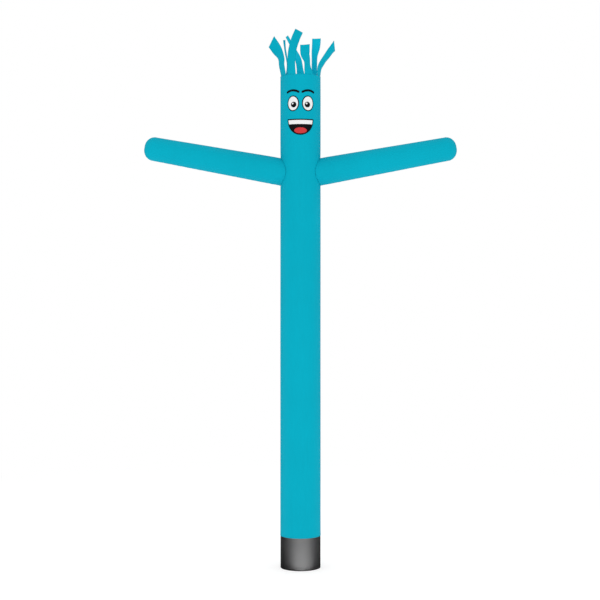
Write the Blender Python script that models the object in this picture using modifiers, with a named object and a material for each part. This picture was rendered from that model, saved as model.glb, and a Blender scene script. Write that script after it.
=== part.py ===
"""Inflatable air dancer, standing full of air on its base cuff.

A straight body tube of thin nylon is closed at the top by a crown panel. Seven hair strips
are sewn into the crown seam. Two tapered arms are sewn round holes in the tube's sides, and a
black cuff at the foot slips over a blower's outlet. The face is cut from plain cloth patches
that are sewn on one over another.

Metres, +Z up, the face looks along -Y. The origin is the middle of the cuff's bottom edge.
Round pieces of the body share one grid of flat facets, so that neighbours lie parallel.
"""
import math

import bmesh
import bpy
import numpy as np
from mathutils import Vector

# Cloth and seams
GAP = 0.0003              # clear space between one piece and the next
CLOTH = 0.0015            # wall of the tube, arms and crown
CUFF_CLOTH = 0.0020       # heavier coated cloth of the cuff
STRIP_CLOTH = 0.0012      # a hair strip
PATCH_CLOTH = 0.0010      # a face patch

# Body tube
BODY_RADIUS = 0.2286      # outside, an 18 in tube
BODY_TOP = 5.571          # top edge of the tube
BODY_BOTTOM = 0.364       # its lower edge, on the cuff
BODY_FACETS = 64
FACET_ANGLE = 2 * math.pi / BODY_FACETS

# Cuff
CUFF_LAP = 0.025          # length of cuff inside the tube
CUFF_HEM = 0.040          # height of the doubled bottom hem
CUFF_HEM_STEP = 0.004     # slope where the doubled cloth ends

# Crown
SEAM_DEPTH = 0.012        # depth of the crown seam below the tube's top edge
CROWN_RISE = 0.024        # height of the crown's middle above that edge
CROWN_RINGS = 2

# Arms: a straight taper from the body's axis, with a rounded end
ARM_HEIGHT = 4.4535       # where both arms' middle lines meet the body's axis
ARM_SLOPE = math.radians(10.2)
ARM_REACH = 1.799         # along the arm, from the body's axis to its tip
ARM_RADIUS = 0.1572       # the taper's radius at the body's axis
ARM_TAPER = 0.0143        # radius lost for each metre of reach
ARM_END_FLAT = 0.020      # radius of the flat middle of the tip
ARM_END_ROUND = 0.114     # radius of the tip's rounded edge
ARM_END_STEPS = 5
ARM_ROOT = 0.150          # the arm's start inside the body, trimmed off at its wall
ARM_FACETS = 40

# Hair strips, worked out from the radius at which the crown seam holds them
STRIP_SEAM_RADIUS = BODY_RADIUS - CLOTH - GAP
CROWN_RADIUS = STRIP_SEAM_RADIUS - STRIP_CLOTH - GAP
STRIP_ROWS = 14           # rows of the free length
STRIP_STEP = 0.01         # share of the route over which its direction is taken
STRIP_FLATTENS = 0.14     # rise over which a strip loses the rim's curve
STRIP_CURVE_LEFT = 0.25   # the share of that curve which stays

# name, rim angle from the front in degrees (positive towards +X), width, and how far the
# tip's cut runs further along the +angle edge than along the middle
HAIR_STRIPS = (
    ("hair_strip_1", -62.0, 0.120, 0.041),
    ("hair_strip_2", -26.0, 0.098, -0.009),
    ("hair_strip_3", 25.0, 0.106, 0.002),
    ("hair_strip_4", 70.0, 0.098, -0.064),
    ("hair_strip_5", 133.0, 0.100, -0.002),
    ("hair_strip_6", 179.0, 0.096, -0.022),
    ("hair_strip_7", -139.0, 0.098, -0.030),
)
# For each strip, the points that its middle line passes: rise above the tube's top edge,
# across (X), depth (Y), and the heading of its outer face in degrees, as the rim angle is.
STRIP_ROUTES = {
    "hair_strip_1": (
        (0.110, -0.213, -0.118, -58.0),
        (0.190, -0.224, -0.150, -46.0),
        (0.270, -0.266, -0.215, -18.0),
        (0.342, -0.324, -0.300, -8.0),
    ),
    "hair_strip_2": (
        (0.130, -0.104, -0.212, -26.0),
        (0.260, -0.093, -0.222, -20.0),
        (0.380, -0.060, -0.215, -12.0),
        (0.490, -0.016, -0.190, -8.0),
    ),
    "hair_strip_3": (
        (0.080, 0.082, -0.218, 46.0),
        (0.152, 0.073, -0.248, 44.0),
        (0.212, 0.052, -0.292, 8.0),
        (0.291, 0.049, -0.385, 0.0),
    ),
    "hair_strip_4": (
        (0.090, 0.220, -0.092, 58.0),
        (0.167, 0.260, -0.122, 50.0),
        (0.243, 0.323, -0.175, 40.0),
        (0.305, 0.381, -0.245, 30.0),
    ),
    "hair_strip_5": (
        (0.120, 0.161, 0.182, 130.0),
        (0.248, 0.162, 0.205, 130.0),
        (0.379, 0.180, 0.240, 160.0),
        (0.499, 0.186, 0.285, 178.0),
    ),
    "hair_strip_6": (
        (0.120, -0.004, 0.240, 212.0),
        (0.248, -0.026, 0.262, 220.0),
        (0.378, -0.080, 0.290, 236.0),
        (0.535, -0.159, 0.328, 242.0),
    ),
    "hair_strip_7": (
        (0.110, -0.146, 0.182, -108.0),
        (0.229, -0.158, 0.200, -104.0),
        (0.346, -0.175, 0.232, -106.0),
        (0.481, -0.191, 0.285, -108.0),
    ),
}

# Face patches. Places are (arc length from the front line, height), sizes are half-axes.
EYE_ACROSS = 0.086
EYE_HEIGHT = 5.240
EYE_RIM = (0.070, 0.088)
EYE_BORDER = 0.011        # width of black that shows round an eye's white
PUPIL_RADIUS = 0.032
PUPIL_PLACE = (0.078, 5.226)
GLINT_RADIUS = 0.010
GLINT_OFFSET = (-0.010, 0.012)
BROW_ACROSS = 0.090
BROW_HEIGHT = 5.256       # middle of the arc that the brow follows
BROW_ARC = 0.130
BROW_SPAN = math.radians(31)
BROW_HALF_WIDTH = 0.012
MOUTH_HALF_WIDTH = 0.156
MOUTH_TOP = 5.066         # the level upper edge
MOUTH_DEPTH = 0.180
MOUTH_BORDER = 0.013      # width of black that shows round the teeth
TEETH_HEIGHT = 0.046
TONGUE = (0.072, 0.034)
TONGUE_HEIGHT = 4.936
CURVE_STEPS = 20          # straight steps in half a turn of a patch's outline

# name, base colour, roughness
TEAL = ("teal_ripstop", (0.000, 0.418, 0.559, 1.0), 0.50)
BLACK_CUFF = ("black_coated_cloth", (0.020, 0.020, 0.022, 1.0), 0.38)
BLACK = ("black_patch_cloth", (0.008, 0.008, 0.010, 1.0), 0.60)
WHITE = ("white_patch_cloth", (0.850, 0.850, 0.850, 1.0), 0.60)
RED = ("red_patch_cloth", (0.640, 0.045, 0.050, 1.0), 0.60)


# Scene and tools -----------------------------------------------------------------------

def clear_scene():
    for obj in list(bpy.data.objects):
        bpy.data.objects.remove(obj, do_unlink=True)


def new_collection(name):
    collection = bpy.data.collections.new(name)
    bpy.context.scene.collection.children.link(collection)
    return collection


def cloth_material(finish):
    name, colour, roughness = finish
    material = bpy.data.materials.get(name)
    if material is None:
        material = bpy.data.materials.new(name)
        material.use_nodes = True
        shader = material.node_tree.nodes["Principled BSDF"]
        shader.inputs["Base Color"].default_value = colour
        shader.inputs["Roughness"].default_value = roughness
        shader.inputs["Metallic"].default_value = 0.0
    return material


def add_object(collection, name, mesh, finish=None):
    obj = bpy.data.objects.new(name, mesh)
    collection.objects.link(obj)
    if finish is not None:
        mesh.materials.append(cloth_material(finish))
    return obj


def mesh_from(name, bm):
    mesh = bpy.data.meshes.new(name)
    bm.to_mesh(mesh)
    bm.free()
    return mesh


def add_turned(collection, name, profile, facets, finish, closed=False):
    """A profile of (radius, height) points, outer side first from the top, turned round Z."""
    bm = bmesh.new()
    points = [bm.verts.new((radius, 0.0, height)) for radius, height in profile]
    ends = points[1:] + points[:1] if closed else points[1:]
    for start, end in zip(points, ends):
        bm.edges.new((start, end))
    obj = add_object(collection, name, mesh_from(name, bm), finish)
    screw = obj.modifiers.new("turn", "SCREW")
    screw.steps = facets
    screw.render_steps = facets
    screw.use_merge_vertices = True
    screw.merge_threshold = 0.00001
    screw.use_smooth_shade = True
    return obj


def add_wall(obj, thickness):
    """Gives an open surface its cloth, laid inwards from the outer face."""
    wall = obj.modifiers.new("cloth", "SOLIDIFY")
    wall.thickness = thickness
    wall.offset = -1.0


def add_cut(obj, cutter):
    cut = obj.modifiers.new("cut", "BOOLEAN")
    cut.operation = "DIFFERENCE"
    cut.solver = "EXACT"
    cut.object = cutter


def add_cutter(collection, name, radius_low, radius_high, length, facets):
    """A cone or cylinder standing on its own origin."""
    bm = bmesh.new()
    bmesh.ops.create_cone(bm, cap_ends=True, segments=facets, radius1=radius_low,
                          radius2=radius_high, depth=length)
    bmesh.ops.translate(bm, verts=bm.verts, vec=(0, 0, length / 2))
    cutter = add_object(collection, name, mesh_from(name, bm))
    cutter.hide_render = True
    cutter.display_type = "WIRE"
    return cutter


# Places on the body --------------------------------------------------------------------

def on_facets(angle, radius):
    """The point (x, y) at an angle from the front, on the flat facets of a tube."""
    line = math.floor(angle / FACET_ANGLE)
    share = angle / FACET_ANGLE - line
    low, high = line * FACET_ANGLE, (line + 1) * FACET_ANGLE
    x = radius * ((1 - share) * math.sin(low) + share * math.sin(high))
    y = -radius * ((1 - share) * math.cos(low) + share * math.cos(high))
    return x, y


def arm_radius(reach):
    return ARM_RADIUS - ARM_TAPER * reach


def point_arm(obj, side):
    """Turns a piece made along +Z to lie along an arm; side is -1 (left) or 1 (right)."""
    obj.location = (0, 0, ARM_HEIGHT)
    obj.rotation_euler = (0, side * (math.pi / 2 - ARM_SLOPE), 0)


# Body, crown, cuff and arms ------------------------------------------------------------

def make_body_tube(parts, arm_bores):
    profile = [(BODY_RADIUS, BODY_TOP), (BODY_RADIUS, BODY_BOTTOM)]
    tube = add_turned(parts, "body_tube", profile, BODY_FACETS, TEAL)
    add_wall(tube, CLOTH)
    for bore in arm_bores:
        add_cut(tube, bore)


def make_crown_panel(parts):
    profile = []
    for ring in range(CROWN_RINGS + 1):
        share = ring / CROWN_RINGS
        profile.append((CROWN_RADIUS * share, BODY_TOP + CROWN_RISE * (1 - share ** 2)))
    profile.append((CROWN_RADIUS, BODY_TOP - SEAM_DEPTH))
    crown = add_turned(parts, "crown_panel", profile, BODY_FACETS, TEAL)
    add_wall(crown, CLOTH)


def make_base_cuff(parts):
    outside = BODY_RADIUS - CLOTH - GAP
    inside = outside - CUFF_CLOTH
    hem_inside = inside - CUFF_CLOTH
    top = BODY_BOTTOM + CUFF_LAP
    profile = [
        (outside, top),
        (outside, 0.0),
        (hem_inside, 0.0),
        (hem_inside, CUFF_HEM),
        (inside, CUFF_HEM + CUFF_HEM_STEP),
        (inside, top),
    ]
    add_turned(parts, "base_cuff", profile, BODY_FACETS, BLACK_CUFF, closed=True)


def make_arm(parts, name, side, body_space):
    """A tapered sleeve with a rounded end, trimmed to the body's outer wall."""
    round_middle = ARM_REACH - ARM_END_ROUND
    profile = [(0.0, ARM_REACH)]
    for step in range(ARM_END_STEPS + 1):
        angle = math.pi / 2 * (1 - step / ARM_END_STEPS)
        radius = ARM_END_FLAT + ARM_END_ROUND * math.cos(angle)
        profile.append((radius, round_middle + ARM_END_ROUND * math.sin(angle)))
    profile.append((arm_radius(ARM_ROOT), ARM_ROOT))
    arm = add_turned(parts, name, profile, ARM_FACETS, TEAL)
    point_arm(arm, side)
    add_wall(arm, CLOTH)
    add_cut(arm, body_space)


def make_arm_bore(cutters, name, side):
    """The inside of an arm, which cuts the hole in the tube that the arm is sewn round."""
    length = 2 * BODY_RADIUS
    bore = add_cutter(cutters, name, arm_radius(0) - CLOTH, arm_radius(length) - CLOTH,
                      length, ARM_FACETS)
    point_arm(bore, side)
    return bore


def make_body_space(cutters):
    """The body's outline, a gap larger, that an arm's root stops at."""
    space = add_cutter(cutters, "body_space", BODY_RADIUS + GAP, BODY_RADIUS + GAP,
                       2 * BODY_RADIUS + 2 * ARM_RADIUS, BODY_FACETS)
    space.location = (0, 0, ARM_HEIGHT - BODY_RADIUS - ARM_RADIUS)
    return space


# Hair strips ---------------------------------------------------------------------------

def smooth_step(share):
    share = min(max(share, 0.0), 1.0)
    return share * share * (3 - 2 * share)


def smooth_curve(points, share):
    """Catmull-Rom curve through the rows of an array, at a share of its whole run."""
    place = share * (len(points) - 1)
    leg = min(int(place), len(points) - 2)
    t = place - leg
    before = points[max(leg - 1, 0)]
    start, end = points[leg], points[leg + 1]
    after = points[min(leg + 2, len(points) - 1)]
    return 0.5 * (2 * start + (end - before) * t
                  + (2 * before - 5 * start + 4 * end - after) * t ** 2
                  + (3 * start - 3 * end + after - before) * t ** 3)


def strip_columns(middle_angle, half_width):
    """Places across a strip, from its middle: both edges and every facet line between."""
    half_angle = half_width / STRIP_SEAM_RADIUS
    first = math.ceil((middle_angle - half_angle) / FACET_ANGLE)
    last = math.floor((middle_angle + half_angle) / FACET_ANGLE)
    lines = [line * FACET_ANGLE - middle_angle for line in range(first, last + 1)]
    angles = [-half_angle] + lines + [half_angle]
    return [angle * STRIP_SEAM_RADIUS for angle in angles]


def strip_route(name, rim_angle):
    """Rows of rise, across, depth and heading, from the tube's top edge to the tip."""
    seam_x, seam_y = on_facets(rim_angle, STRIP_SEAM_RADIUS)
    rows = [(0.0, seam_x, seam_y, math.degrees(rim_angle))]
    rows.extend(STRIP_ROUTES[name])
    return np.array(rows)


def strip_point(route, share, across, lead):
    """A point of the free length, on a section that flattens as the strip rises.

    lead is how far this edge's tip runs past the middle's.
    """
    rise, x, y, heading = smooth_curve(route, share)
    start = min(share, 1 - STRIP_STEP)
    along = smooth_curve(route, start + STRIP_STEP) - smooth_curve(route, start)
    along = Vector((along[1], along[2], along[0])).normalized()
    facing = Vector((math.sin(math.radians(heading)), -math.cos(math.radians(heading)), 0))
    width_way = along.cross(facing).normalized()
    outwards = width_way.cross(along)
    flat = smooth_step(rise / STRIP_FLATTENS)
    bend = (1 - flat * (1 - STRIP_CURVE_LEFT)) / STRIP_SEAM_RADIUS
    sideways = math.sin(bend * across) / bend
    inwards = (1 - math.cos(bend * across)) / bend
    middle = Vector((x, y, rise)) + along * lead * share ** 2
    return middle + width_way * sideways - outwards * inwards


def make_hair_strip(parts, name, rim_degrees, width, tip_slant):
    rim_angle = math.radians(rim_degrees)
    columns = strip_columns(rim_angle, width / 2)
    route = strip_route(name, rim_angle)
    bm = bmesh.new()
    bmesh.ops.create_grid(bm, x_segments=len(columns) - 1, y_segments=STRIP_ROWS + 1, size=1)
    for vert in bm.verts:
        column = round((vert.co.x + 1) / 2 * (len(columns) - 1))
        row = round((vert.co.y + 1) / 2 * (STRIP_ROWS + 1))
        across = columns[column]
        if row <= 1:
            x, y = on_facets(rim_angle + across / STRIP_SEAM_RADIUS, STRIP_SEAM_RADIUS)
            vert.co = (x, y, BODY_TOP - SEAM_DEPTH * (1 - row))
        else:
            share = (row - 1) / STRIP_ROWS
            point = strip_point(route, share, across, tip_slant * across / (width / 2))
            vert.co = point + Vector((0, 0, BODY_TOP))
    strip = add_object(parts, name, mesh_from(name, bm), TEAL)
    add_wall(strip, STRIP_CLOTH)


# Face patches --------------------------------------------------------------------------

def arc(across, height, half_width, half_height, start, end, steps=CURVE_STEPS):
    """Points on an oval from one angle to another, ends included."""
    angles = [start + (end - start) * step / steps for step in range(steps + 1)]
    return [(across + half_width * math.cos(a), height + half_height * math.sin(a))
            for a in angles]


def oval(across, height, half_width, half_height, steps=CURVE_STEPS):
    return arc(across, height, half_width, half_height, 0, 2 * math.pi, steps)[:-1]


def brow(side):
    """An arched bar with round ends."""
    across = side * BROW_ACROSS
    low, high = math.pi / 2 - BROW_SPAN, math.pi / 2 + BROW_SPAN
    outline = []
    for way, start, end in ((1, low, high), (-1, high, low)):
        radius = BROW_ARC + way * BROW_HALF_WIDTH
        outline += arc(across, BROW_HEIGHT, radius, radius, start, end, CURVE_STEPS // 2)
        end_across = across + BROW_ARC * math.cos(end)
        end_height = BROW_HEIGHT + BROW_ARC * math.sin(end)
        turn = end if way > 0 else end + math.pi
        outline += arc(end_across, end_height, BROW_HALF_WIDTH, BROW_HALF_WIDTH,
                       turn, turn + math.pi, CURVE_STEPS // 4)[1:-1]
    return outline


def half_moon(half_width, top, depth):
    """A level upper edge with half an oval hanging from it."""
    return arc(0, top, half_width, depth, -math.pi, 0)


def top_band(half_width, top, depth, height):
    """The uppermost part of a half moon, down to a level lower edge."""
    side = math.asin(height / depth)
    left = arc(0, top, half_width, depth, -math.pi, side - math.pi, CURVE_STEPS // 4)
    right = arc(0, top, half_width, depth, -side, 0, CURVE_STEPS // 4)
    return left + right


def add_patch(parts, name, outline, layer, finish):
    """Cuts an outline at the body's facet lines, thickens it and wraps it on the tube."""
    bm = bmesh.new()
    face = bm.faces.new([bm.verts.new((u, v, 0)) for u, v in outline])
    face.normal_update()
    if face.normal.z < 0:
        face.normal_flip()
    reach = max(abs(u) for u, v in outline)
    lines = math.floor(reach / (BODY_RADIUS * FACET_ANGLE))
    for line in range(-lines, lines + 1):
        geometry = bm.verts[:] + bm.edges[:] + bm.faces[:]
        place = (line * FACET_ANGLE * BODY_RADIUS, 0, 0)
        bmesh.ops.bisect_plane(bm, geom=geometry, plane_co=place, plane_no=(1, 0, 0), dist=1e-6)
    bmesh.ops.triangulate(bm, faces=bm.faces[:])
    lift = GAP + layer * (PATCH_CLOTH + GAP)
    raised = bmesh.ops.extrude_face_region(bm, geom=bm.faces[:])
    for vert in raised["geom"]:
        if isinstance(vert, bmesh.types.BMVert):
            vert.co.z = PATCH_CLOTH
    for vert in bm.verts:
        x, y = on_facets(vert.co.x / BODY_RADIUS, BODY_RADIUS + lift + vert.co.z)
        vert.co = (x, y, vert.co.y)
    bmesh.ops.recalc_face_normals(bm, faces=bm.faces[:])
    add_object(parts, name, mesh_from(name, bm), finish)


def make_face(parts):
    eye_white = [half_axis - EYE_BORDER for half_axis in EYE_RIM]
    for side, label in ((-1, "left"), (1, "right")):
        across = side * EYE_ACROSS
        look_across, look_height = side * PUPIL_PLACE[0], PUPIL_PLACE[1]
        pupil = oval(look_across, look_height, PUPIL_RADIUS, PUPIL_RADIUS)
        glint = oval(look_across + GLINT_OFFSET[0], look_height + GLINT_OFFSET[1],
                     GLINT_RADIUS, GLINT_RADIUS, CURVE_STEPS // 2)
        add_patch(parts, f"brow_{label}", brow(side), 0, BLACK)
        add_patch(parts, f"eye_rim_{label}", oval(across, EYE_HEIGHT, *EYE_RIM), 0, BLACK)
        add_patch(parts, f"eye_white_{label}", oval(across, EYE_HEIGHT, *eye_white), 1, WHITE)
        add_patch(parts, f"pupil_{label}", pupil, 2, BLACK)
        add_patch(parts, f"glint_{label}", glint, 3, WHITE)
    inner = (MOUTH_HALF_WIDTH - MOUTH_BORDER, MOUTH_TOP - MOUTH_BORDER,
             MOUTH_DEPTH - 2 * MOUTH_BORDER)
    mouth = half_moon(MOUTH_HALF_WIDTH, MOUTH_TOP, MOUTH_DEPTH)
    add_patch(parts, "mouth", mouth, 0, BLACK)
    add_patch(parts, "teeth", top_band(*inner, TEETH_HEIGHT), 1, WHITE)
    add_patch(parts, "tongue", oval(0, TONGUE_HEIGHT, *TONGUE), 1, RED)


def build():
    clear_scene()
    parts = new_collection("inflatable_air_dancer")
    cutters = new_collection("cutters")
    body_space = make_body_space(cutters)
    bores = []
    for side, label in ((-1, "left"), (1, "right")):
        bores.append(make_arm_bore(cutters, f"arm_bore_{label}", side))
        make_arm(parts, f"arm_{label}", side, body_space)
    make_body_tube(parts, bores)
    make_crown_panel(parts)
    make_base_cuff(parts)
    for name, rim_degrees, width, tip_slant in HAIR_STRIPS:
        make_hair_strip(parts, name, rim_degrees, width, tip_slant)
    make_face(parts)


build()
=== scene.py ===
import math

import bmesh
import bpy
import numpy as np
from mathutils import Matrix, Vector


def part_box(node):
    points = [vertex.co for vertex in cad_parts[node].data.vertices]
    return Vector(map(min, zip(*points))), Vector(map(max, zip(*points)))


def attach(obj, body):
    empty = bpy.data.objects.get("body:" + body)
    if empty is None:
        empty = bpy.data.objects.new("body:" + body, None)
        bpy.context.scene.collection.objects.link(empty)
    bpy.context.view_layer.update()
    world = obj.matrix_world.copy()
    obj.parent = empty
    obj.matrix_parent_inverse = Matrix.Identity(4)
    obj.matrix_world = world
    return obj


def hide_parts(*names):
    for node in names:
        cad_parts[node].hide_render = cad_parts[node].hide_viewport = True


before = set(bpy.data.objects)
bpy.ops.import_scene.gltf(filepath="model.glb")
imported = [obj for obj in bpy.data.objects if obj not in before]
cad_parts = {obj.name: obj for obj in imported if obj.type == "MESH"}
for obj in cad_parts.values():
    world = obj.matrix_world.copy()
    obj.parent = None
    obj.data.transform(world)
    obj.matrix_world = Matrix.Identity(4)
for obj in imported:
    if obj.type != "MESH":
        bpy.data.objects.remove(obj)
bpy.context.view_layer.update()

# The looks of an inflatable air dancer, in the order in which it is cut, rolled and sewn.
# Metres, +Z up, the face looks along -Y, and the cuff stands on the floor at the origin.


# Camera and studio ----------------------------------------------------------------------
# A level camera stands well back from the face side, at half the dancer's height. Two broad
# soft panels, one in front and one behind, and an even sky light it, and a card on the floor
# puts a sheen on the satin foot alone. The pale floor fades into the ground's white.

EYE_LEVEL = 3.0367
CAMERA_PLACE = (-0.0056, -14.2, EYE_LEVEL)
LENS_MM = 74.9
SENSOR_MM = 36
VIEW_DEPTH = 200.0
PANEL_SIZE = (12.0, 7.0)
PANEL_DISTANCE = 12.0
PANEL_HEIGHT = 3.6
PANEL_WATTS = 130
CARD_SIZE = (2.0, 3.4)
CARD_START = 0.24          # from the body's axis
CARD_ACROSS = 0.09
CARD_LIFT = 0.002          # above the floor
CARD_WATTS = 84
SKY_LIGHT = 0.80
SKY_OVERHEAD = 0.15        # added straight above
SKY_SHEEN = 0.012          # the sky as satin cloth mirrors it: flags keep it dark
GROUND_WHITE = (1.0, 1.0, 1.0, 1.0)
FLOOR_SIDE = 120.0
FLOOR_DROP = 0.0004        # below the cuff's bottom edge
FLOOR_WHITE = (0.50, 0.50, 0.50, 1.0)
FLOOR_GLOW = 0.62
FADE_START = 1.5           # from the body's axis
FADE_END = 9.0


class Wire:
    """One socket of a node tree. Arithmetic on wires and numbers adds Math nodes."""

    def __init__(self, bench, socket):
        self.bench = bench
        self.socket = socket

    def out(self, name):
        return Wire(self.bench, self.socket.node.outputs[name])

    def math(self, operation, *others):
        values = dict(enumerate((self, *others)))
        return self.bench.add("ShaderNodeMath", values, operation=operation)

    def __add__(self, other):
        return self.math("ADD", other)

    def __sub__(self, other):
        return self.math("SUBTRACT", other)

    def __rsub__(self, other):
        return self * -1 + other

    def __mul__(self, other):
        return self.math("MULTIPLY", other)

    def __truediv__(self, other):
        return self.math("DIVIDE", other)

    __radd__ = __add__
    __rmul__ = __mul__

    def sin(self):
        return self.math("SINE")

    def cos(self):
        return self.math("COSINE")

    def larger(self, other):
        return self.math("MAXIMUM", other)

    def to_nearest(self, pitch):
        """Distance to the nearest multiple of a pitch."""
        return self.math("PINGPONG", pitch / 2)

    def bump(self, strength, distance):
        """A surface's relief, with this as its height."""
        inputs = {"Strength": strength, "Distance": distance, "Height": self}
        return self.bench.add("ShaderNodeBump", inputs)

    def rise(self, start, end, low=0.0, high=1.0):
        """Runs smoothly from low to high as this goes from start to end."""
        inputs = {0: self, 1: start, 2: end, 3: low, 4: high}
        return self.bench.add("ShaderNodeMapRange", inputs, interpolation_type="SMOOTHSTEP")


class Bench:
    """A node tree and the one way that nodes are added to it."""

    def __init__(self, tree):
        self.tree = tree

    def add(self, kind, inputs=None, output=0, **settings):
        """A node of a kind, with its settings and the values or links of its sockets."""
        node = self.tree.nodes.new(kind)
        for name, value in settings.items():
            setattr(node, name, value)
        for name, value in (inputs or {}).items():
            if isinstance(value, Wire):
                self.tree.links.new(value.socket, node.inputs[name])
            else:
                node.inputs[name].default_value = value
        return Wire(self, node.outputs[output] if len(node.outputs) else None)

    def blend(self, factor, first, second):
        """A colour between two others."""
        return self.add("ShaderNodeMix", {0: factor, 6: first, 7: second}, 2, data_type="RGBA")


def put(name, data, place=(0, 0, 0), turn=(0, 0, 0)):
    """An object in the scene, with its mesh, lens or light."""
    placed = bpy.data.objects.new(name, data)
    placed.location = place
    placed.rotation_euler = turn
    bpy.context.scene.collection.objects.link(placed)
    return placed


def mesh_from(bm, name):
    mesh = bpy.data.meshes.new(name)
    bm.to_mesh(mesh)
    bm.free()
    return mesh


def clear_bench(owner):
    """The emptied node tree of a material or a sky."""
    owner.use_nodes = True
    owner.node_tree.nodes.clear()
    return Bench(owner.node_tree)


def add_camera():
    lens = bpy.data.cameras.new("camera")
    lens.lens = LENS_MM
    lens.sensor_width = SENSOR_MM
    lens.clip_end = VIEW_DEPTH
    bpy.context.scene.camera = put("camera", lens, CAMERA_PLACE, (math.pi / 2, 0, 0))


def add_light(name, shape, size, watts, place, turn):
    light = bpy.data.lights.new(name, "AREA")
    light.shape = shape
    light.size, light.size_y = size
    light.energy = watts
    lamp = put(name, light, place, turn)
    lamp.visible_camera = False
    return lamp


def add_panel(name, side):
    """A soft panel in front (side -1) or behind (1), facing the dancer."""
    place = (0, side * PANEL_DISTANCE, PANEL_HEIGHT)
    turn = (math.pi / 2, 0, 0 if side < 0 else math.pi)
    panel = add_light(name, "RECTANGLE", PANEL_SIZE, PANEL_WATTS, place, turn)
    panel.visible_glossy = side < 0


def add_card():
    """A bright card on the floor in front, to be mirrored and not seen."""
    place = (CARD_ACROSS, -CARD_START - CARD_SIZE[1] / 2, CARD_LIFT)
    card = add_light("floor_card", "ELLIPSE", CARD_SIZE, CARD_WATTS, place, (math.pi, 0, 0))
    card.visible_diffuse = False
    return card


def add_sky():
    """An even sky. Straight behind the dancer it shows as the white ground."""
    world = bpy.data.worlds.new("studio_sky")
    bpy.context.scene.world = world
    bench = clear_bench(world)
    path = bench.add("ShaderNodeLightPath")
    way = bench.add("ShaderNodeTexCoord").out("Generated")
    up = bench.add("ShaderNodeSeparateXYZ", {0: way}).out("Z")
    light = SKY_LIGHT + SKY_OVERHEAD * up.rise(0.0, 1.0)
    mirrored = path.out("Is Glossy Ray")
    lit = bench.add("ShaderNodeBackground", {
        "Color": GROUND_WHITE, "Strength": light + mirrored * (SKY_SHEEN - light)})
    seen = bench.add("ShaderNodeBackground", {"Color": GROUND_WHITE, "Strength": 1.0})
    both = bench.add("ShaderNodeMixShader", {0: path.out("Is Camera Ray"), 1: lit, 2: seen})
    bench.add("ShaderNodeOutputWorld", {"Surface": both})


def add_floor():
    bm = bmesh.new()
    bmesh.ops.create_grid(bm, x_segments=1, y_segments=1, size=FLOOR_SIDE / 2)
    floor = put("floor", mesh_from(bm, "floor"), (0, 0, -FLOOR_DROP))
    floor.visible_glossy = False
    material = bpy.data.materials.new("pale_floor")
    bench = clear_bench(material)
    place = bench.add("ShaderNodeTexCoord").out("Object")
    away = bench.add("ShaderNodeVectorMath", {0: place}, "Value", operation="LENGTH")
    fade = away.rise(FADE_START, FADE_END)
    near = bench.add("ShaderNodeBsdfPrincipled", {
        "Base Color": FLOOR_WHITE, "Roughness": 0.9, "Specular IOR Level": 0.1,
        "Emission Color": GROUND_WHITE, "Emission Strength": FLOOR_GLOW})
    far = bench.add("ShaderNodeEmission", {"Color": GROUND_WHITE, "Strength": 1.0})
    both = bench.add("ShaderNodeMixShader", {0: fade, 1: near, 2: far})
    bench.add("ShaderNodeOutputMaterial", {"Surface": both})
    floor.data.materials.append(material)


bpy.context.scene.view_settings.view_transform = "Standard"
add_camera()
add_panel("front_panel", -1)
add_panel("back_panel", 1)
card = add_card()
add_sky()
add_floor()


# Body tube ------------------------------------------------------------------------------
# One panel of teal coated ripstop nylon, rolled into a tube and felled down the back. A hole
# is cut in each side for an arm, and the hem at the foot laps over the cuff. Air holds it
# taut, so only its seams draw the cloth in.

TUBE_RADIUS = 0.2286
TUBE_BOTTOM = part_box("body_tube")[0].z
TUBE_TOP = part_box("body_tube")[1].z
HALF_ROUND = math.pi * TUBE_RADIUS
CLOTH = 0.0012
GAP = 0.0003               # between one cloth and the next
CUFF_LAP = 0.025
HEM = 0.023
HEM_STAND = 0.0006
CROWN_SEAM = 0.012
FELL = 0.013               # width of the felled seam down the back
FELL_STAND = 0.0007
SEAM_SLOPE = 0.002         # width of the slope at the edge of a seam or hem
SWELL = 0.0005             # uneven swell of the cloth away from its seams
# its lobes round the tube, the radians by which they turn and fade in a metre, and a phase
TUBE_SWELL = (3, 1.1, 1.7, 0.6)
# where a thing starts below the crown and above the hem, and the run over which it grows
SWELL_GROWS = (0.02, 0.03, 0.3)
FELL_GATHERS_GROW = (0.015, 0.035, 0.05)
# gathers beside a seam: depth, how far off they fade, and their turns with phases
FELL_GATHERS = (0.0032, 0.045, ((12.5, 0.3), (7.9, 1.4), (19.3, 2.2)))
CROWN_GATHERS = (0.0030, 0.055, ((31, 0.0), (43, 1.2), (19, 2.1)))
HEM_GATHERS = (0.0012, 0.045, ((29, 0.7), (37, 1.9), (17, 0.2)))
ROOT_GATHERS = (0.0034, 0.055)  # by an arm; their turns differ from side to side
ARM_HEIGHT = 4.4535        # where the arms' middle lines meet the body's axis
ARM_SLOPE = math.radians(10.2)
ARM_RADIUS = 0.1572        # an arm's radius at the body's axis
ARM_TAPER = 0.0143         # radius lost for each metre of reach
ARM_SIDES = (("left", -1), ("right", 1))
TEAL = (0.000, 0.418, 0.559)
TEAL_THREAD = (0.000, 0.340, 0.470)
TEAL_TONES = (0.93, 1.07)  # darkest and palest shares of the teal
THREAD_TONES = (0.8, 1.15)
MELTED = (0.0005, 0.0035)  # from a hot cut edge: where its darker line fades
MELTED_SHARE = 0.75
MELTED_TONE = 0.45
RIPSTOP = 0.010            # pitch of the thicker yarns
RIPSTOP_YARN = (0.0004, 0.0014)
FELL_STITCHES = (0.003, FELL - 0.003)
HEM_STITCHES = (0.005, HEM - 0.004)
CROWN_STITCH = 0.007       # below the tube's top
ROOT_STITCH = 0.007        # from an arm's root
THREAD_LIFT = 0.0003       # middle of the thread above the cloth
STITCH_SHARE = 0.8         # a stitch's length as a share of the pitch
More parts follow.
